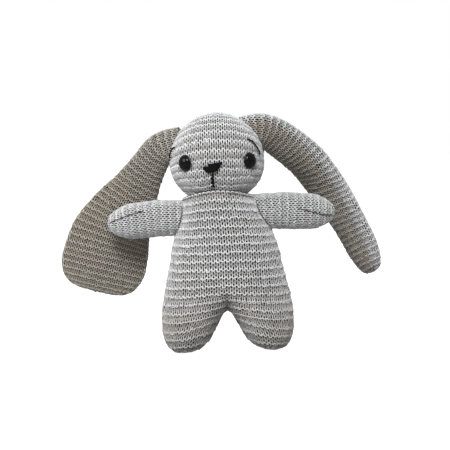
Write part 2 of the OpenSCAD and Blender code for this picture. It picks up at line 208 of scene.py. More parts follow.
def body_skin():
    """A pear that forks. A row at height z spans the half width at z and bulges to the front and
    back as half an ellipse. Towards the bottom the bulge changes, by a smooth share, from one
    ellipse to the two of the legs side by side, and the middle of each row stays higher than its
    sides. The collar is higher at the front and back, where it covers the head's round underside."""
    v, a = grid_axes()
    across = np.cos(a)
    half, deep, shift = body_sizes(v)
    fork = np.clip((v - 0.72) / 0.28, 0, 1) ** 2.2
    legs = np.sqrt(np.maximum(0, 1 - (2 * np.abs(across) - 1) ** 2))
    bulge = (1 - fork) * np.abs(np.sin(a)) + fork * legs
    y = front_shift - deep * np.sign(np.sin(a)) * bulge
    low = (LEG_TOP + FORK_RISE * (1 - np.abs(across)) ** 1.5 * v ** 3) * MM
    z = neck_z + v * (low - neck_z) + 5.6 * MM * np.sin(a) ** 2 * (1 - v) ** 4
    return np.stack([shift + half * across, y, z], -1)


def leg_skin(way):
    """A leg carries on from the body's last row, on the side that way gives as 1 or -1. Each row is
    an ellipse between a point of the inner outline and one of the outer outline, sagging between
    them, and the last rows close the sole."""
    k, a = grid_axes(60)
    inner = curve(INNER_LEG * [hip_half, MM], k[:, 0])[:, None]
    outer = curve(OUTER_LEG * [hip_half, MM], k[:, 0])[:, None]
    c = (1 - way * np.cos(a)) / 2
    x = outer[..., 0] + (inner[..., 0] - outer[..., 0]) * c
    z = outer[..., 1] + (inner[..., 1] - outer[..., 1]) * c ** 1.5
    deep = curve(LEG_DEPTHS, k)
    return np.stack([hip_shift + way * x, front_shift - deep * np.sin(a), z + 0 * x], -1)


def limb_skin(path, halves, depths, twist, tip, power):
    """A tube along a path, with elliptical rows of the half sizes given along it. Over the last
    share of it, tip, the rows close as a quarter of an ellipse, the half width by the power given.
    The rows turn about the path by up to twist."""
    k, a = grid_axes()
    k = k[:, 0]
    shut = tip * 1.35
    turn = np.radians(86) * np.clip((k - (1 - shut)) / shut, 0, 1)
    t = np.where(k < 1 - shut, k / (1 - shut) * (1 - tip), 1 - tip + tip * np.sin(turn))
    middle = curve(path, t)
    e = 0.01
    direction = unit(curve(path, np.minimum(t, 0.985) + e) - curve(path, np.minimum(t, 0.985) - e))
    wide = np.stack([direction[:, 2], 0 * k, -direction[:, 0]], -1)
    wide = unit(wide - (wide * direction).sum(1, keepdims=True) * direction)
    thick = np.cross(direction, wide)
    old = np.clip((t * (len(path) - 1) - 1) / (len(path) - 2), 0, 1)
    angle = twist * np.sin(np.pi / 2 * np.minimum(1, old * 1.25))[:, None]
    wide, thick = (np.cos(angle) * wide + np.sin(angle) * thick,
                   np.cos(angle) * thick - np.sin(angle) * wide)
    half = curve(halves, t) * np.cos(turn) ** power
    deep = curve(depths, t) * np.cos(turn)
    return (middle[:, None] + (half[:, None] * np.cos(a))[..., None] * wide[:, None]
            + (deep[:, None] * np.sin(a))[..., None] * thick[:, None])


# ---- Mesh building ----

def make_mesh(name, points, faces, uv=None):
    """Puts arrays of points and of four-cornered faces into a new object at the origin, with smooth
    shading. uv holds the texture maps by name, one pair for each corner of each face."""
    mesh = bpy.data.meshes.new(name)
    mesh.vertices.add(len(points))
    mesh.vertices.foreach_set("co", points.astype(np.float32).ravel())
    mesh.loops.add(faces.size)
    mesh.loops.foreach_set("vertex_index", faces.astype(np.int32).ravel())
    mesh.polygons.add(len(faces))
    mesh.polygons.foreach_set("loop_start", np.arange(0, faces.size, 4, dtype=np.int32))
    mesh.update(calc_edges=True)
    mesh.polygons.foreach_set("use_smooth", np.full(len(faces), True))
    for layer, corners in (uv or {}).items():
        mesh.uv_layers.new(name=layer).uv.foreach_set("vector", corners.astype(np.float32).ravel())
    thing = bpy.data.objects.new(name, mesh)
    bpy.context.scene.collection.objects.link(thing)
    return thing


def tube_faces(count, sides, first=0, closed=True):
    """The faces of a tube of count rings, each of that many sides, as four point numbers each."""
    i, j = np.indices((count if closed else count - 1, sides))
    i2, j2 = (i + 1) % count, (j + 1) % sides
    corners = [i * sides + j, i2 * sides + j, i2 * sides + j2, i * sides + j2]
    return first + np.stack(corners, -1).reshape(-1, 4)


def tube_corners(count, sides):
    """For every face of a tube, the ring and the side at which each of its four corners lies."""
    i = np.arange(count)[:, None, None] + np.array([0, 1, 1, 0])
    j = np.arange(sides)[None, :, None] + np.array([0, 0, 1, 1])
    return np.broadcast_arrays(i, j)


def tube_wall(centre, side, top, size, sides, flat=1.0):
    """The points of a tube: a ring about each point of a line, whose half width is size, and whose
    half height, towards top, is flat times that."""
    angle = round_angles(sides)[:, None]
    ring = np.cos(angle) * side[:, None] + flat * np.sin(angle) * top[:, None]
    return (centre[:, None] + size[:, None, None] * ring).reshape(-1, 3)


def lengths(path):
    """The length along a path up to each of its points."""
    steps = np.linalg.norm(np.diff(path, axis=0), axis=1)
    return np.concatenate([[0], np.cumsum(steps)])


def stitch_edges(ring, wale):
    """Where the stitches of a closed ring of points begin and end, as lengths round it, and those
    lengths. The stitches are one wale wide from the middle of the front and of the back outwards;
    the sides take what is left."""
    length = lengths(np.concatenate([ring, ring[:1]]))
    quarter = len(ring) // 4
    edges = []
    for low, middle, high in ((0, quarter, 2 * quarter), (2 * quarter, 3 * quarter, 4 * quarter)):
        start, centre, end = length[low], length[middle], length[high]
        before = int(max(0, (centre - start) / wale - 0.4))
        after = int(max(0, (end - centre) / wale - 0.4))
        edges.append(np.concatenate([[start], centre + wale * np.arange(-before, after + 1)]))
    return np.concatenate(edges + [[length[-1]]]), length


def knit(name, skin, wale, course, yarn, ridge, tone, seed, lift=0.0):
    """A garter-stitch bag over a skin. The courses are evenly spaced along it by the mean length of
    its columns. In each stitch, with t from -pi to pi, the yarn lies at x = t/2pi + sway sin 2t
    across and y = tall cos t along. It stands out at the loop's head and sinks at its feet, near
    t = pi. Every other course is turned inside out, which makes the ridges. ridge is their height
    at the skin's start and end, as shares of a course; tone is the painted shade over the skin,
    from 0, darkest, to 1, none, as a grid like it; lift moves the whole knit off the skin. The
    yarn also carries a painted shade for its colour: darker where it sinks into the loops and on
    its inward side, lighter on the ridges."""
    sides, steps = 6, 10  # of the yarn's tube, and points to a stitch
    sway, foot_spread, loop_height = 0.17, 0.22, 0.72
    rng = np.random.default_rng(seed)
    normals = outward(skin)
    climb = np.linalg.norm(np.diff(skin, axis=0), axis=2).mean(1)
    height = np.concatenate([[0], np.cumsum(climb)])
    courses = 2 * round(height[-1] / course / 2)
    rise = height[-1] / courses
    t = np.linspace(-np.pi, np.pi, steps, endpoint=False)
    head = 1 + np.cos(t)
    loop_x = t / (2 * np.pi) + 0.5 + sway * np.sin(2 * t)
    foot = np.exp(-head / foot_spread)
    points, faces, yarn_uv, bake_uv, hollow_shade, painted_shades = [], [], [], [], [], []
    first = 0

    def uneven(amount, stitches):
        return amount * rng.standard_normal((stitches, 1))

    for c in range(courses):
        at = (c + 0.5) * rise
        row = np.interp(at, height, np.arange(len(skin)))
        columns = np.arange(skin.shape[1], dtype=float)
        edges, length = stitch_edges(sample(skin, np.full(len(columns), row), columns), wale)
        stitches = len(edges) - 1
        width = np.diff(edges)[:, None]
        face = 1 if c % 2 else -1
        tall = loop_height * (1 + uneven(0.07, stitches))
        slip = uneven(0.05, stitches) * head / 2
        across = (edges[:-1, None] + width * (loop_x + slip)).ravel()
        up = (at + rise * (tall * np.cos(t) + uneven(0.06, stitches) * head)).ravel()
        shape = np.tile(face * (0.35 * (1 - 2 * foot) + 0.55 * np.cos(t)), stitches)
        stands = ridge[0] + (ridge[1] - ridge[0]) * at / height[-1]
        out = shape * course * stands + lift + (uneven(0.04, stitches) * course * head).ravel()
        column = np.interp(across, length, np.arange(len(length)))
        rows = np.interp(up, height, np.arange(len(skin)))
        normal = unit(sample(normals, rows, column))
        centre = sample(skin, rows, column) + out[:, None] * normal
        along = unit(np.roll(centre, -1, 0) - np.roll(centre, 1, 0))
        side = unit(np.cross(along, normal))
        count = len(centre)
        thickness = np.repeat(yarn * np.minimum(1, width / wale), steps, 0)
        thickness = (thickness * (1 + uneven(0.05, count))).ravel()
        points.append(tube_wall(centre, side, np.cross(side, along), thickness, sides))
        faces.append(tube_faces(count, sides, first))
        first += count * sides
        i, j = tube_corners(count, sides)
        yarn_uv.append(np.stack([i / steps, j / sides], -1).reshape(-1, 2))
        strip = (c + 0.04 + 0.92 * j / sides) / courses
        bake_uv.append(np.stack([i / count * 0.998, strip], -1).reshape(-1, 2))
        # Painted shade and highlight for the colour: darker where the yarn sinks into the loops and
        # on its inward side, lighter on the ridges.
        ridged = min(1, 0.2 + stands / 0.07)
        depth = 0.62 - 0.12 * ridged + 0.38 * ridged * shape[:, None]
        hollow_shade.append(np.clip(depth + 0.2 * np.sin(round_angles(sides)), 0, 1).ravel())
        # The bag's painted shade, read where the yarn lies.
        painted_shades.append(np.repeat(sample(tone[..., None], rows, column)[:, 0], sides))
    thing = make_mesh(name, np.concatenate(points), np.concatenate(faces),
                      {"OFBake": np.concatenate(bake_uv), "Yarn": np.concatenate(yarn_uv)})
    for label, values in (("HollowShade", hollow_shade), ("Tone", painted_shades)):
        attribute = thing.data.attributes.new(label, "FLOAT", "POINT")
        attribute.data.foreach_set("value", np.concatenate(values).astype(np.float32))
    return thing


def lining(name, skin, inset):
    """The closed inner skin under the knit: the skin moved inwards by inset, shut at both ends."""
    return closed_tube(name, (skin - inset * outward(skin))[::2, ::2])


def closed_tube(name, inner):
    """A grid of rows and closed columns as a mesh, with a strip of faces across each end."""
    rows, columns = inner.shape[:2]
    points = inner.reshape(-1, 3)
    faces = tube_faces(rows, columns, closed=False)
    around = np.roll(inner, -1, 1) - np.roll(inner, 1, 1)
    if (np.cross(around, np.gradient(inner, axis=0)) * outward(inner)).sum() > 0:
        faces = faces[:, ::-1]
    turned = faces[0, 1] != columns
    ends = []
    for row in (0, rows - 1):
        j = np.arange(columns // 2 - 1)
        quad = np.stack([j, j + 1, columns - j - 2, columns - j - 1], -1) + row * columns
        ends.append(quad[:, ::-1] if (row > 0) != turned else quad)
    faces = np.concatenate([faces] + ends)
    return make_mesh(name, points, faces)


CLOTH = {"quality": 5, "mass": 0.2, "tension_stiffness": 12, "compression_stiffness": 12,
         "shear_stiffness": 6, "bending_stiffness": 0.4, "use_pressure": True,
         "uniform_pressure_force": 4, "vertex_group_mass": "held"}
CLOTH_STEPS = 20


def swell(name, skin, held, cap):
    """Fills a bag with the cloth solver. The skin is first drawn in by a fifth of cap. A coarse copy
    of it, closed at both ends, is then blown up by a steady pressure without gravity, while its
    end rows and sewn columns are held. How far each point moved, at most cap, is read back to the
    full skin by straight lines between points."""
    scene = bpy.context.scene
    start = skin - 0.2 * cap * outward(skin)
    rows = np.linspace(0, len(skin) - 1, 50).round().astype(int)
    columns = np.arange(0, skin.shape[1], 2)
    coarse = start[np.ix_(rows, columns)]
    thing = closed_tube(name, coarse)
    count = len(columns)
    pinned = [row * count + i for row in (0, 1, 2, len(rows) - 2, len(rows) - 1)
              for i in range(count)]
    pinned += [row * count + round(column / 2) % count
               for column in held for row in range(len(rows))]
    group = thing.vertex_groups.new(name="held")
    group.add(pinned, 1.0, "REPLACE")
    cloth = thing.modifiers.new("cloth", "CLOTH")
    for key, value in CLOTH.items():
        setattr(cloth.settings, key, value)
    cloth.settings.effector_weights.gravity = 0
    cloth.collision_settings.use_collision = False
    cloth.collision_settings.use_self_collision = False
    for step in range(1, 1 + CLOTH_STEPS):
        scene.frame_set(step)
    shown = thing.evaluated_get(bpy.context.evaluated_depsgraph_get())
    after = np.empty(len(thing.data.vertices) * 3, np.float32)
    shown.data.vertices.foreach_get("co", after)
    moved = after.reshape(-1, 3)[:coarse.size // 3].reshape(coarse.shape) - coarse
    length = np.linalg.norm(moved, axis=-1, keepdims=True)
    moved = moved * np.minimum(1, cap / np.maximum(length, 1e-9))
    bpy.data.objects.remove(thing)
    scene.frame_set(1)
    r = np.interp(np.arange(len(skin)), rows, np.arange(len(rows)))[:, None]
    c = np.arange(skin.shape[1])[None, :] / 2
    return start + sample(moved, *np.broadcast_arrays(r, c))


# ---- Materials ----

def set_inputs(tree, node, inputs):
    """Sets or links a node's inputs, by name or number."""
    for key, value in inputs.items():
        if isinstance(value, bpy.types.NodeSocket):
            tree.links.new(value, node.inputs[key])
        else:
            node.inputs[key].default_value = value


def add_node(tree, kind, inputs=None, **settings):
    """Adds a shader node, sets its options, then its inputs."""
    node = tree.nodes.new("ShaderNode" + kind)
    for key, value in settings.items():
        setattr(node, key, value)
    set_inputs(tree, node, inputs or {})
    return node


def new_material(name):
    """A material with its tree of nodes and its shader."""
    material = bpy.data.materials.new(name)
    material.use_nodes = True
    return material, material.node_tree, material.node_tree.nodes["Principled BSDF"]


def new_group(name, inputs, outputs):
    """A group of shader nodes with numbers going in, at the values given, and numbers coming out.
    Returns it with what goes in."""
    tree = bpy.data.node_groups.new(name, "ShaderNodeTree")
    kind = "NodeSocketFloat"
    for label, default in inputs.items():
        socket = tree.interface.new_socket(name=label, in_out="INPUT", socket_type=kind)
        socket.default_value = default
    for label in outputs:
        tree.interface.new_socket(name=label, in_out="OUTPUT", socket_type=kind)
    return tree, tree.nodes.new("NodeGroupInput").outputs


def sums(tree, operation, *values):
    return add_node(tree, "Math", dict(enumerate(values)), operation=operation).outputs[0]


def noise(tree, place, scale, detail, roughness=0.5):
    return add_node(tree, "TexNoise", {"Vector": place, "Scale": scale, "Detail": detail,
                                       "Roughness": roughness}).outputs[0]


def own_place(tree):
    """Places in the piece's own space, in metres."""
    return add_node(tree, "TexCoord").outputs["Object"]


def ranged(tree, value, low, high, to_low, to_high):
    """Takes low to high onto to_low to to_high by a straight line, held at both ends."""
    return add_node(tree, "MapRange", {"Value": value, "From Min": low, "From Max": high,
                                       "To Min": to_low, "To Max": to_high}).outputs[0]


def scaled(tree, colour, share):
    return add_node(tree, "VectorMath", {0: colour, "Scale": share}, operation="SCALE").outputs[0]


def multiplied(tree, one, other):
    return add_node(tree, "VectorMath", {0: one, 1: other}, operation="MULTIPLY").outputs[0]


def bumped(tree, height, strength, distance):
    """Turns the shading by a height, where distance is what one unit of it stands for."""
    return add_node(tree, "Bump", {"Height": height, "Strength": strength,
                                   "Distance": distance}).outputs[0]


def ramp(tree, value, *stops):
    """Blends colours by straight lines between stops, which are pairs of a value and a colour."""
    node = add_node(tree, "ValToRGB", {0: value})
    ends = node.color_ramp.elements
    for end, (place, colour) in ((ends[0], stops[0]), (ends[1], stops[-1])):
        end.position = place
        end.color = (*colour, 1)
    for place, colour in stops[1:-1]:
        ends.new(place).color = (*colour, 1)
    return node.outputs[0]


def spun_fibre_group():
    """Yarn's own surface from its Yarn map, where x counts stitches and y turns round the yarn. Two
    plies wind round it, as a sine of 4 pi times the winds and turns, with fine fibres along them.
    Gives a height and a share of darker fibres."""
    tree, given = new_group("spun fibre", {"Winds": 3.0, "Fibre": 0.5}, ("Height", "Heather"))
    yarn_map = add_node(tree, "UVMap", uv_map="Yarn").outputs[0]
    along, turns, _ = add_node(tree, "SeparateXYZ", {0: yarn_map}).outputs
    phase = sums(tree, "ADD", sums(tree, "MULTIPLY", along, given["Winds"]), turns)
    ply = sums(tree, "SINE", sums(tree, "MULTIPLY", phase, 4 * math.pi))
    stretched = add_node(tree, "CombineXYZ", {0: along, 1: phase}).outputs[0]
    place = own_place(tree)
    fine, fuzz = noise(tree, stretched, 9.0, 3.0, 0.65), noise(tree, place, 2600.0, 2.0)
    strand = sums(tree, "MULTIPLY", sums(tree, "ADD", fine, fuzz), given["Fibre"])
    flecks = noise(tree, place, 900.0, 4.0, 0.75)
    set_inputs(tree, tree.nodes.new("NodeGroupOutput"), {
        "Height": sums(tree, "MULTIPLY_ADD", ply, 0.35, strand),
        "Heather": ranged(tree, flecks, 0.38, 0.66, 0.0, 1.0)})
    return tree


def handling_group():
    """Slow changes of tone over a handled surface: broad patches a few centimetres wide, and
    smaller ones where the pile is rubbed. Gives a number about one to multiply a colour by."""
    tree, given = new_group("handling", {"Amount": 0.08}, ("Tone",))
    place = own_place(tree)
    both = sums(tree, "ADD", noise(tree, place, 28.0, 2.0), noise(tree, place, 190.0, 2.0))
    centred = sums(tree, "SUBTRACT", both, 1.0)
    set_inputs(tree, tree.nodes.new("NodeGroupOutput"), {
        "Tone": sums(tree, "MULTIPLY_ADD", centred, given["Amount"], 1.0)})
    return tree


SPUN = spun_fibre_group()
HANDLING = handling_group()


def use_group(tree, group, inputs):
    """Adds a node that runs the group, and returns what it gives."""
    return add_node(tree, "Group", inputs, node_tree=group).outputs


def knit_material(name, low, middle, high, shaded):
    """Heathered yarn. Its colour climbs from low, painted shade in the sunken loops, to high, a cool
    painted highlight on the ridges, with darker fibres mixed in, and shaded is the painted shade
    that the darkest tone multiplies it by. The ply and its fibres are a bump, and a soft sheen
    stands for the fuzz."""
    material, tree, shader = new_material(name)
    fibre = use_group(tree, SPUN, {"Winds": 3.0, "Fibre": 0.55})
    hollow_shade = add_node(tree, "Attribute", attribute_name="HollowShade").outputs["Fac"]
    tone = add_node(tree, "Attribute", attribute_name="Tone").outputs["Fac"]
    # Painted shade in the sunken loops, rising to a cool painted highlight on the ridges.
    yarn = ramp(tree, hollow_shade, (0.12, low), (0.5, middle), (0.92, high))
    flecks = add_node(tree, "Mix", {"Factor": fibre["Heather"], "A": (1.12, 1.11, 1.10, 1),
                                    "B": (0.76, 0.75, 0.74, 1)}, data_type="RGBA")
    flecked = multiplied(tree, yarn, flecks.outputs["Result"])
    rubbed = scaled(tree, flecked, use_group(tree, HANDLING, {"Amount": 0.16})["Tone"])
    # Painted shade: the tone attribute blends the colour towards shaded.
    set_inputs(tree, shader, {
        "Base Color": multiplied(tree, rubbed, ramp(tree, tone, (0.0, shaded), (1.0, (1, 1, 1)))),
        "Normal": bumped(tree, fibre["Height"], 0.55, 0.35 * MM),
        "Roughness": 0.88, "Specular IOR Level": 0.25,
        "Sheen Weight": 0.35, "Sheen Roughness": 0.5, "Sheen Tint": (0.9, 0.93, 1.0, 1)})
    return material


def fluff_material(name, colour, scale):
    """Matted fibre: a fine, uneven bump, and patches a little darker between its tufts."""
    material, tree, shader = new_material(name)
    tufts = noise(tree, own_place(tree), scale, 6.0, 0.7)
    set_inputs(tree, shader, {
        "Base Color": ramp(tree, tufts, (0.3, [0.55 * c for c in colour]), (0.7, colour)),
        "Normal": bumped(tree, tufts, 0.8, 0.8 * MM),
        "Roughness": 0.95, "Specular IOR Level": 0.1, "Sheen Weight": 0.2})
    return material


def gloss_material():
    """Black glass-like plastic, smeared a little, with hair-fine scratches."""
    material, tree, shader = new_material("glossy black eye")
    place = own_place(tree)
    stretched = add_node(tree, "Mapping", {0: place, "Rotation": (0.3, 0.2, 0.7),
                                           "Scale": (900.0, 60.0, 3500.0)}).outputs[0]
    scratches = ranged(tree, noise(tree, stretched, 1.0, 1.0), 0.62, 0.72, 0.045, 0.11)
    smear = noise(tree, place, 260.0, 2.0)
    set_inputs(tree, shader, {
        "Base Color": (0.003, 0.003, 0.0035, 1), "IOR": 1.38, "Specular IOR Level": 0.3,
        "Roughness": sums(tree, "MULTIPLY_ADD", smear, 0.05, scratches)})
    return material


def plastic_material():
    """Milky moulded plastic with a fine grain."""
    material, tree, shader = new_material("milky washer plastic")
    grain = noise(tree, own_place(tree), 1800.0, 2.0)
    set_inputs(tree, shader, {
        "Base Color": (0.72, 0.71, 0.67, 1), "Subsurface Weight": 0.1,
        "Roughness": ranged(tree, grain, 0.0, 1.0, 0.35, 0.55),
        "Normal": bumped(tree, grain, 0.2, 0.1 * MM)})
    return material


def thread_material(name, colour, rough, sheen, winds):
    """Twisted thread: plies wind round it, with a soft gloss along them."""
    material, tree, shader = new_material(name)
    fibre = use_group(tree, SPUN, {"Winds": winds, "Fibre": 0.3})
    base = add_node(tree, "RGB").outputs[0]
    base.default_value = (*colour, 1)
    set_inputs(tree, shader, {
        "Base Color": scaled(tree, base, ranged(tree, fibre["Heather"], 0.0, 1.0, 1.15, 0.75)),
        "Normal": bumped(tree, fibre["Height"], 0.6, 0.2 * MM),
        "Roughness": rough, "Sheen Weight": sheen, "Anisotropic": 0.4,
        "Specular IOR Level": 0.14})
    return material


# Colours from painted shade in the sunken loops, through the yarn's own grey, to a cool painted
# highlight on the ridges; the last is the painted shade colour.
KNIT = knit_material("heathered grey knit", (0.19, 0.165, 0.14), (0.39, 0.38, 0.366),
                     (0.63, 0.645, 0.665), (0.54, 0.48, 0.395))
# A dark lining under the knit: painted shade that darkens the holes between the stitches.
SHADE_LINING = fluff_material("dark lining painted as shade", (0.075, 0.064, 0.054), 700.0)
STUFFING = fluff_material("white stuffing", (0.78, 0.77, 0.74), 260.0)
GLOSS = gloss_material()
PLASTIC = plastic_material()
SATIN = thread_material("black satin thread", (0.003, 0.003, 0.0035), 0.45, 0.0, 6.0)
BLACK_YARN = thread_material("black yarn", (0.004, 0.0038, 0.0038), 0.75, 0.0, 6.0)
SEWING = thread_material("grey-brown sewing yarn", (0.085, 0.066, 0.052), 0.85, 0.3, 4.0)


# ---- The knitted bags ----

def limb_lines():
    """The middle lines of the arms and ears, in metres. Each starts under the skin of the body or
    the head, and its second point is at or near the joint."""
    share = np.linspace(0, 1, 4)[:, None]
    out = {}
    for side, way in (("left", 1), ("right", -1)):
        shoulder = joints["arm_lift_" + side]
        out["arm_" + side] = np.concatenate([
            [shoulder - 27 * MM * np.array([way, 0, 0])],
            shoulder + share * 41.95 * MM * np.array([way, 0, -0.07])])
    ears = {
        "left": [[-25.5, -7, 0], [-7.5, -2, 0], [10.5, 10, -11], [28.5, 20, -27.5], [44, 29, -49],
                 [57.5, 32, -72.5], [69.5, 31, -96], [79.5, 28, -120]],
        "right": [[22, -8.5, 5.5], [5.2, -2.2, 0.5], [-6.8, 8, -14.3], [-18.3, 15.5, -32.3],
                  [-30.3, 18, -51], [-40, 18, -70.5], [-46.5, 17, -92], [-53, 16, -115]]}
    for side, steps in ears.items():
        out["ear_" + side] = joints["ear_lift_" + side] + np.array(steps) * MM
    return out


EAR_AIM = {"left": np.array([0.886, 0.174, 0.428]), "right": np.array([-0.959, 0.201, 0.2])}
LINES = limb_lines()
ARM_HALVES = np.array([14.5, 15.3, 15.2, 14.2, 11]) * MM
ARM_DEPTHS = np.array([13, 13, 13.2, 12.6, 10]) * MM
EAR_HALVES = {"left": np.array([12.5, 14, 16.5, 19.5, 24, 27, 26, 22]) * MM,
              "right": np.array([12.5, 13.5, 15.5, 20.5, 27.5, 33.5, 35.5, 34]) * MM}
EAR_DEPTHS = {"left": np.array([7.5, 7.5, 8.3, 8.6, 8.6, 8.6, 8.6, 8.3]) * MM,
              "right": np.array([7.5, 7.5, 7.2, 7.5, 7.5, 7.5, 7.5, 7.2]) * MM}
EAR_TWIST = {"left": math.radians(66), "right": 0.0}
ROLLED = math.radians(185)  # the angle of the left ear's columns at the middle of its rolled edge

skins = {"head": head_skin(), "body": body_skin(), "leg_left": leg_skin(1),
         "leg_right": leg_skin(-1)}
for limb in ("arm_left", "arm_right"):
    skins[limb] = limb_skin(LINES[limb], ARM_HALVES, ARM_DEPTHS, 0.0, tip=0.36, power=0.8)
for side in ("left", "right"):
    skins["ear_" + side] = limb_skin(LINES["ear_" + side], EAR_HALVES[side], EAR_DEPTHS[side],
                                     EAR_TWIST[side], tip=0.15, power=0.62)

# By the first word of a bag's name: stitch width, course height and yarn radius, in millimetres.
GAUGE = {"head": (3.6, 2.6, 0.54), "body": (4.0, 3.5, 0.57), "leg": (4.0, 3.5, 0.57),
         "arm": (3.3, 3.0, 0.48), "ear": (3.5, 2.6, 0.54)}
# The height of the ridges at a bag's first and last course, as shares of a course.
RIDGES = {"head": (0.03, 0.10), "body": (0.055, 0.06), "leg": (0.06, 0.06), "arm": (0.02, 0.02),
          "ear": (0.07, 0.07)}
# The columns of each skin that a seam or an edge holds.
HELD = {"head": [36], "body": [108], "leg_left": [72], "leg_right": [0], "arm_left": [90],
        "arm_right": [130], "ear_left": [0, 72], "ear_right": [0, 72]}
# How far inside the skin the yarn's middle, the dark lining of painted shade and the stuffing lie.
KNIT_IN, SHADE_LINING_IN, STUFFING_IN = 0.7 * MM, 1.9 * MM, 3.4 * MM
COLLAR_ROWS = 9  # of the body's skin, which lie straight on the head
FILL_RISE = 1.6 * MM  # how far the cloth solver may move a skin


def painted_shade_of(part, skin):
    """The painted shade on each point of a bag, from 0, darkest, to 1, none. The head and arms are
    unshaded, and painted shade darkens the body by the square of the way down to the legs, which
    are half shaded. The right ear is in painted shade but for its root, lighter by a bell curve,
    and the left one is in painted shade with a painted lit band along its rolled outer edge, whose
    sides fade as a hyperbolic tangent."""
    share, angle = grid_axes()
    if part == "ear_right":
        return 0.04 + 0.2 * np.exp(-((share - 0.1) / 0.15) ** 2) + 0 * angle
    if part == "ear_left":
        light = 0.5 - 0.5 * np.tanh((np.abs(angle - ROLLED) - np.radians(47)) / np.radians(9))
        return 0.10 + 0.85 * light + 0 * share
    # Painted shade, darker towards the legs.
    if part == "body":
        return 1 - 0.5 * np.clip((share - 0.5) / 0.5, 0, 1) ** 2 + 0 * angle
    if part.startswith("leg"):
        return np.full(skin.shape[:2], 0.5)
    return np.ones(skin.shape[:2])


CAD_NAMES = {"head": ("head_cover", "head_filling"), "body": ("body_cover", "body_filling")}
for side in ("left", "right"):
    CAD_NAMES["leg_" + side] = CAD_NAMES["body"]
    for limb in ("arm", "ear"):
        CAD_NAMES[f"{limb}_{side}"] = (f"{limb}_cover_{side}", f"{limb}_filling_{side}")


def follow(thing, part):
    """Lets a piece of the body or the head ride on its body. A limb's piece only has its place baked
    into its points."""
    if not part.startswith(("arm", "ear")):
        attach(thing, "head" if part == "head" else "torso")
        return
    limb, side = part.split("_")
    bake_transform(thing)


def creased(skin, column):
    """Presses a fold along a limb at a column's angle: the skin sinks by a bell curve of the angle
    from it, and the fold fades at both ends."""
    share, angle = grid_axes()
    sink = 2.2 * MM * np.exp(-((angle - column) / math.radians(15)) ** 2)
    return skin - (sink * np.sin(np.pi * share) ** 0.5)[..., None] * outward(skin)


for part in skins:
    skins[part] = swell(part + "_blown", skins[part], HELD[part], FILL_RISE)
skins["ear_left"] = creased(skins["ear_left"], ROLLED + math.radians(48))

for number, (part, skin) in enumerate(skins.items()):
    kind = part.split("_")[0]
    wale, course, yarn = (value * MM for value in GAUGE[kind])
    cover, filling = CAD_NAMES[part]
    bag = knit(part + "_knit", skin, wale, course, yarn, RIDGES[kind], painted_shade_of(part, skin), number,
               lift=-KNIT_IN)
    bag.data.materials.append(KNIT)
    backed = skin[COLLAR_ROWS:] if part == "body" else skin
    # The dark lining is painted shade seen through the stitches.
    shade_lining = lining(part + "_shade_lining", backed, SHADE_LINING_IN)
    shade_lining.data.materials.append(SHADE_LINING)
    stuffing = lining(part + "_stuffing", backed, STUFFING_IN)
    stuffing.data.materials.append(STUFFING)
    for thing in (bag, shade_lining, stuffing):
        follow(thing, part)
    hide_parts(cover)
    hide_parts(cover)
    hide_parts(filling)


# ---- Threads ----

def frames(path, hint, closed):
    """Two directions square to a path at each of its points, the second of them nearest to the
    hint, which has one direction for each point."""
    if closed:
        path, hint = (np.concatenate([v[-1:], v, v[:1]]) for v in (path, hint))
    along = unit(np.gradient(path, axis=0))
    top = unit(hint - (hint * along).sum(-1, keepdims=True) * along)
    side = np.cross(along, top)
    return (side[1:-1], top[1:-1]) if closed else (side, top)


def tubes(name, paths, hints, radius, flat=1.0, sides=8, turn_length=4 * MM, closed=False):
    """One mesh of round or flattened tubes along paths. An open tube closes at both ends as half an
    ellipse; flat is its height as a share of its width."""
    points, faces, yarn_uv = [], [], []
    first = 0
    for path, hint in zip(paths, hints):
        count = len(path)
        side, top = frames(path, hint, closed)
        length = lengths(path)
        size = np.full(count, radius)
        if not closed:
            near = np.minimum(length, length[-1] - length) / (1.3 * radius)
            size = radius * np.sqrt(1 - (1 - np.clip(near, 0, 1)) ** 2)
        points.append(tube_wall(path, side, top, size, sides, flat))
        faces.append(tube_faces(count, sides, first, closed))
        first += count * sides
        i, j = tube_corners(count if closed else count - 1, sides)
        run = np.append(length, 2 * length[-1] - length[-2])[i] / turn_length
        yarn_uv.append(np.stack([run, j / sides], -1).reshape(-1, 2))
    return make_mesh(name, np.concatenate(points), np.concatenate(faces),
                     {"Yarn": np.concatenate(yarn_uv)})


def twisted(path, hint, radius, plies, turn_length, closed):
    """The middle lines of plies that wind about a path: each is moved off it by half the radius, at
    an angle that grows with the length. Round a closed path they make a whole number of turns."""
    length = lengths(path)
    total = length[-1] + (length[-1] - length[-2] if closed else 0)
    turns = max(1, round(total / turn_length)) if closed else total / turn_length
    side, top = frames(path, hint, closed)
    out = []
    for ply in range(plies):
        angle = 2 * np.pi * (turns * length / total + ply / plies)[:, None]
        out.append(path + 0.5 * radius * (np.cos(angle) * side + np.sin(angle) * top))
    return out


def cord_piece(name, path, hint, radius, material, closed=False):
    """A twisted thread along a path, in two real plies that each turn once in 3.5 mm."""
    plies, turn_length = 2, 3.5 * MM
    hint = np.broadcast_to(hint, path.shape)
    paths = twisted(path, hint, radius, plies, turn_length, closed)
    thing = tubes(name, paths, [hint] * plies, radius * 0.62, sides=7, turn_length=turn_length,
                  closed=closed)
    thing.data.materials.append(material)
    return thing


def on_head(x, z, lift):
    """A point on the front of the head's egg at x and z from its middle, in metres, lifted off it,
    and the outward direction there."""
    high = np.where(np.asarray(z) > 0, head_up, head_down)
    y = -head_deep * np.sqrt(np.maximum(0, 1 - (x / head_wide) ** 2 - (z / high) ** 2))
    local = np.stack(np.broadcast_arrays(x, y, z), -1)
    halves = np.stack(np.broadcast_arrays(head_wide, head_deep, high), -1)
    normal = unit(local / halves ** 2)
    return head_middle + local + lift * normal, normal


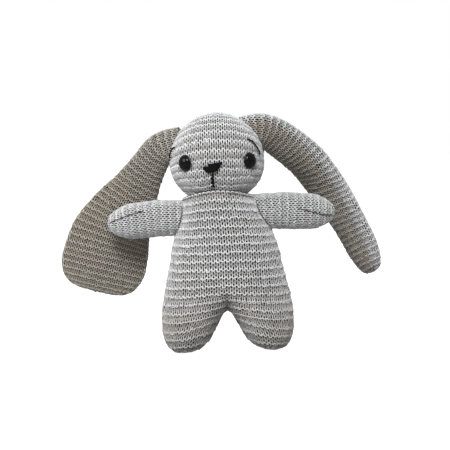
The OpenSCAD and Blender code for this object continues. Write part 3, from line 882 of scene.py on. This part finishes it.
def finish_piece(thing, body, node):
    """Tells the frame which body a piece moves with and what it replaces."""
    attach(thing, body)
    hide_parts(node)


# ---- Face ----

def revolve(name, profile, origin, axis):
    """Turns a profile of (radius, height) points about an axis through origin."""
    columns = 48
    a = round_angles(columns)
    u = unit(np.cross(axis, np.array([0.0, 0.0, 1.0])))
    v = np.cross(axis, u)
    ring = np.cos(a)[:, None] * u + np.sin(a)[:, None] * v
    points = origin + profile[:, None, :1] * ring + profile[:, None, 1:] * axis
    faces = tube_faces(len(profile), columns, closed=False)
    return make_mesh(name, points.reshape(-1, 3), faces[:, ::-1])


EYE_SUNK, EYE_TURNED_OUT = 1.7 * MM, 0.22
# Half outlines of an eye with its shank, and of its washer: radius and height, in millimetres.
SHANK_AND_RIM = [[0.02, -9.3], [1.7, -9.2], [2, -8.9], [2, 0], [6.2, 0], [6.42, 0.1], [6.5, 0.35],
                 [6.5, 0.7], [6.42, 0.98], [6.2, 1.05]]
DOME_TURN = np.radians(np.linspace(0, 89.5, 20))
DOME = np.stack([6.1 * np.cos(DOME_TURN), 1.1 + 3.4 * np.sin(DOME_TURN)], 1)
WASHER = np.array([[2.0, -4.3], [2.0, -5.6], [2.2, -5.9], [5.1, -5.9], [5.4, -5.6], [5.4, -4.6],
                   [5.1, -4.3], [2.3, -4.1], [2.0, -4.3]])

for side, (x, z) in EYES.items():
    place, normal = on_head(x * MM, z * MM, -EYE_SUNK)
    normal = unit(normal + np.array([math.copysign(EYE_TURNED_OUT, x), 0, 0]))
    eye = revolve("glossy_eye_" + side, np.concatenate([SHANK_AND_RIM, DOME]) * MM, place, normal)
    eye.data.materials.append(GLOSS)
    finish_piece(eye, "head", "eye_" + side)
    washer = revolve("washer_" + side, WASHER * MM, place, normal)
    washer.data.materials.append(PLASTIC)
    finish_piece(washer, "head", "eye_washer_" + side)


# x and z of the start and the end of each strand, in millimetres from the head's middle
NOSE_STRANDS = [(-7.6, -3.8, 3.9, -2.2), (-11.2, -6.0, 3.0, -4.0), (-10.2, -7.4, 2.4, -5.6),
                (-8.3, -8.9, 1.1, -7.3)]


def nose_paths():
    """Four satin strands side by side, given by where each starts and ends on the face. They rise
    towards the left ear, and each is three finer ones with ragged ends."""
    paths, hints = [], []
    q = np.linspace(0, 1, 25)
    rng = np.random.default_rng(40)
    for x0, z0, x1, z1 in NOSE_STRANDS:
        for fine in range(3):
            shift = (fine - 1) * 0.62
            begin, end = rng.uniform(-0.5, 0.5, 2)
            across = (x0 + begin + q * (x1 + end - x0 - begin)) * MM
            along = (z0 + shift + q * (z1 - z0)) * MM
            lift = (0.8 + 0.15 * (fine == 1) - 1.7 * np.abs(2 * q - 1) ** 6) * MM
            point, normal = on_head(across, along, 0)
            paths.append(point + lift[:, None] * normal)
            hints.append(normal)
    return paths, hints


paths, hints = nose_paths()
nose = tubes("satin_nose", paths, hints, 0.42 * MM, flat=0.85, turn_length=2.5 * MM)
nose.data.materials.append(SATIN)
finish_piece(nose, "head", "nose_embroidery")

q = np.linspace(0, 1, 30)
point, normal = on_head((-3.8 + 0.4 * q) * MM, (-10.2 - 10.6 * q) * MM, 0)
lift = (0.75 - 1.6 * np.abs(2 * q - 1) ** 8) * MM
mouth = cord_piece("straight_mouth", point + lift[:, None] * normal, normal, 0.85 * MM, BLACK_YARN)
finish_piece(mouth, "head", "mouth_stitch")

BROWS = {"left": [[25, 15.2], [27.6, 13.1], [29.8, 10.3], [32, 6.6], [33.7, 2.4]],
         "right": [[-32.8, 11.1], [-34.2, 9.3], [-35.2, 7.2], [-36, 5], [-36.4, 2.8]]}
for side, bend in BROWS.items():
    line = curve(np.array(bend) * MM, q)
    point, normal = on_head(line[:, 0], line[:, 1], 0)
    lift = (1.25 - 2.2 * np.abs(2 * q - 1) ** 8) * MM
    brow = cord_piece("brow_" + side, point + lift[:, None] * normal, normal, 0.68 * MM, BLACK_YARN)
    finish_piece(brow, "head", "eyebrow_" + side)


# ---- Seams ----

def loop_on(skin, row, lift, count):
    """A closed line round a skin at a row given as a share of it, with its normals."""
    normals = outward(skin)
    rows = np.full(count, row * (len(skin) - 1))
    columns = np.linspace(0, skin.shape[1], count, endpoint=False)
    normal = unit(sample(normals, rows, columns))
    return sample(skin, rows, columns) + lift * normal, normal


ring, normal = loop_on(skins["body"], 0.012, -0.9 * MM, 260)
neck_seam = cord_piece("neck_joining", ring, normal, 0.8 * MM, SEWING, closed=True)
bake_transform(neck_seam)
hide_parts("neck_seam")


def side_of_body(way, y, z, lift):
    """Points of the body's side, at y from its middle and at height z, lifted off it."""
    half, deep, shift = body_sizes((neck_z - z) / (neck_z - hip_z))
    x = shift + way * (half * np.sqrt(1 - (y / deep) ** 2) + lift)
    return np.stack(np.broadcast_arrays(x, front_shift + y, z), -1)


ROUND = round_angles(120)


def ring_on_head(aim_at, wide, angle, narrow, sunk):
    """A ring on the head's egg, at an angle in degrees about the direction aim_at from its middle.
    It reaches that far along wide, narrow times as far across it, and is sunk by sunk. Returns its
    points and their outward directions."""
    reach = np.cos(ROUND)[:, None] * wide
    reach = reach + narrow * np.sin(ROUND)[:, None] * np.cross(aim_at, wide)
    angle = math.radians(angle)
    ring = unit(np.cos(angle) * aim_at + np.sin(angle) * reach)
    ring = head_middle + (np.array([head_wide, head_deep, head_up]) - sunk) * ring
    return ring, unit(ring - head_middle)


ARM_RING = 13.4 * MM  # the half height of the seam at an arm's root
ARM_SEAM_TURNS = {"left": (-101, -72), "right": (-59, -82)}  # in degrees, at its start and end
for side, way in (("left", 1), ("right", -1)):
    shoulder = joints["arm_lift_" + side]
    ring = side_of_body(way, ARM_RING * 0.93 * np.cos(ROUND),
                        shoulder[2] + ARM_RING * np.sin(ROUND), 0.9 * MM)
    out = unit(ring - np.array([0, front_shift, shoulder[2]]))
    seam = cord_piece("arm_joining_" + side, ring, out, 0.45 * MM, SEWING, closed=True)
    finish_piece(seam, "torso", "arm_seam_" + side)

    skin = skins["arm_" + side]
    start, end = ARM_SEAM_TURNS[side]
    share = np.linspace(0, 1, 60)
    rows = (0.36 + 0.50 * share) * (len(skin) - 1)
    columns = np.radians(start + (end - start) * share) / (2 * np.pi) * skin.shape[1]
    out = unit(sample(outward(skin), rows, columns))
    lift = (0.25 - 1.5 * np.abs(2 * share - 1) ** 10) * MM
    path = sample(skin, rows, columns) + lift[:, None] * out
    seam = cord_piece("arm_length_seam_" + side, path, out, 0.4 * MM, SEWING)
    finish_piece(seam, "arm_" + side, "arm_side_seam_" + side)

    u = unit(np.cross(EAR_AIM[side], np.array([0.0, 1.0, 0.0])))
    ring, out = ring_on_head(EAR_AIM[side], u, 19.5, 0.62, 0.1 * MM)
    seam = cord_piece("ear_joining_" + side, ring, out, 0.6 * MM, SEWING, closed=True)
    finish_piece(seam, "head", "ear_seam_" + side)

share = np.linspace(0, 1, 90)
z = (100 - 50 * share) * MM
_, deep, shift = body_sizes((neck_z - z) / (neck_z - hip_z))
path = np.stack([shift, front_shift + deep + (0.3 - 1.6 * np.abs(2 * share - 1) ** 12) * MM, z], 1)
back = cord_piece("back_closing", path, np.array([0.0, 1.0, 0.0]), 0.7 * MM, SEWING)
finish_piece(back, "torso", "back_seam")

fork = np.concatenate([INNER_LEG[2:0:-1] * [-1, 1], INNER_LEG[:3]])
line = curve(fork, np.linspace(0, 1, 60)) * [hip_half, MM]
path = np.stack([hip_shift + line[:, 0], np.full(60, front_shift), line[:, 1] + 1.0 * MM], 1)
crotch = cord_piece("crotch_closing", path, np.array([0.0, 1.0, 0.0]), 0.5 * MM, SEWING)
finish_piece(crotch, "torso", "crotch_seam")

top = unit(np.array([0, 0.35, 1.0]))
ring, out = ring_on_head(top, np.array([1.0, 0, 0]), 8, 1, 0)
gather = cord_piece("crown_drawing", ring, out, 0.7 * MM, SEWING, closed=True)
finish_piece(gather, "head", "crown_gather")


# ---- Stage ----

def add_stage():
    """A pale floor. To the camera it glows like a light table, so that it meets the white behind
    it; to everything else it is plain and grey."""
    points = 9.0 * np.array([[-1, -1, 0], [1, -1, 0], [1, 1, 0], [-1, 1, 0]])
    floor = make_mesh("floor", points, np.array([[0, 1, 2, 3]]))
    material, tree, shader = new_material("pale floor")
    set_inputs(tree, shader, {
        "Base Color": (0.35, 0.35, 0.35, 1), "Roughness": 0.9, "Specular IOR Level": 0.1,
        "Emission Color": (1, 1, 1, 1),
        "Emission Strength": add_node(tree, "LightPath").outputs["Is Camera Ray"]})
    floor.data.materials.append(material)


def add_lamp(name, place, target, size, power, colour):
    """A round lamp of a size in metres and a power in watts, aimed at the target."""
    data = bpy.data.lights.new(name, "AREA")
    data.shape = "DISK"
    data.size = size
    data.energy = power
    data.color = colour
    lamp = bpy.data.objects.new(name, data)
    lamp.location = place
    bpy.context.scene.collection.objects.link(lamp)
    aim(lamp, target)


add_stage()
middle = (0.0, front_shift, 0.1)
add_lamp("key", (-0.12, -1.05, 1.02), middle, 0.6, 20.2, (0.97, 0.985, 1.0))
add_lamp("side", (-1.1, -0.5, 0.6), middle, 0.7, 6, (1.0, 0.99, 0.975))
add_lamp("rim", (0.5, 0.9, 0.9), middle, 0.7, 7, (0.97, 0.985, 1.0))


def add_world():
    """White to the camera, and a dimmer pale grey to everything that it lights."""
    world = bpy.data.worlds.new("studio")
    bpy.context.scene.world = world
    world.use_nodes = True
    tree = world.node_tree
    seen = add_node(tree, "LightPath").outputs["Is Camera Ray"]
    set_inputs(tree, tree.nodes["Background"], {
        "Color": (1, 1, 1, 1), "Strength": ranged(tree, seen, 0.0, 1.0, 0.42, 1.0)})


add_world()
bpy.context.scene.view_settings.view_transform = "Standard"
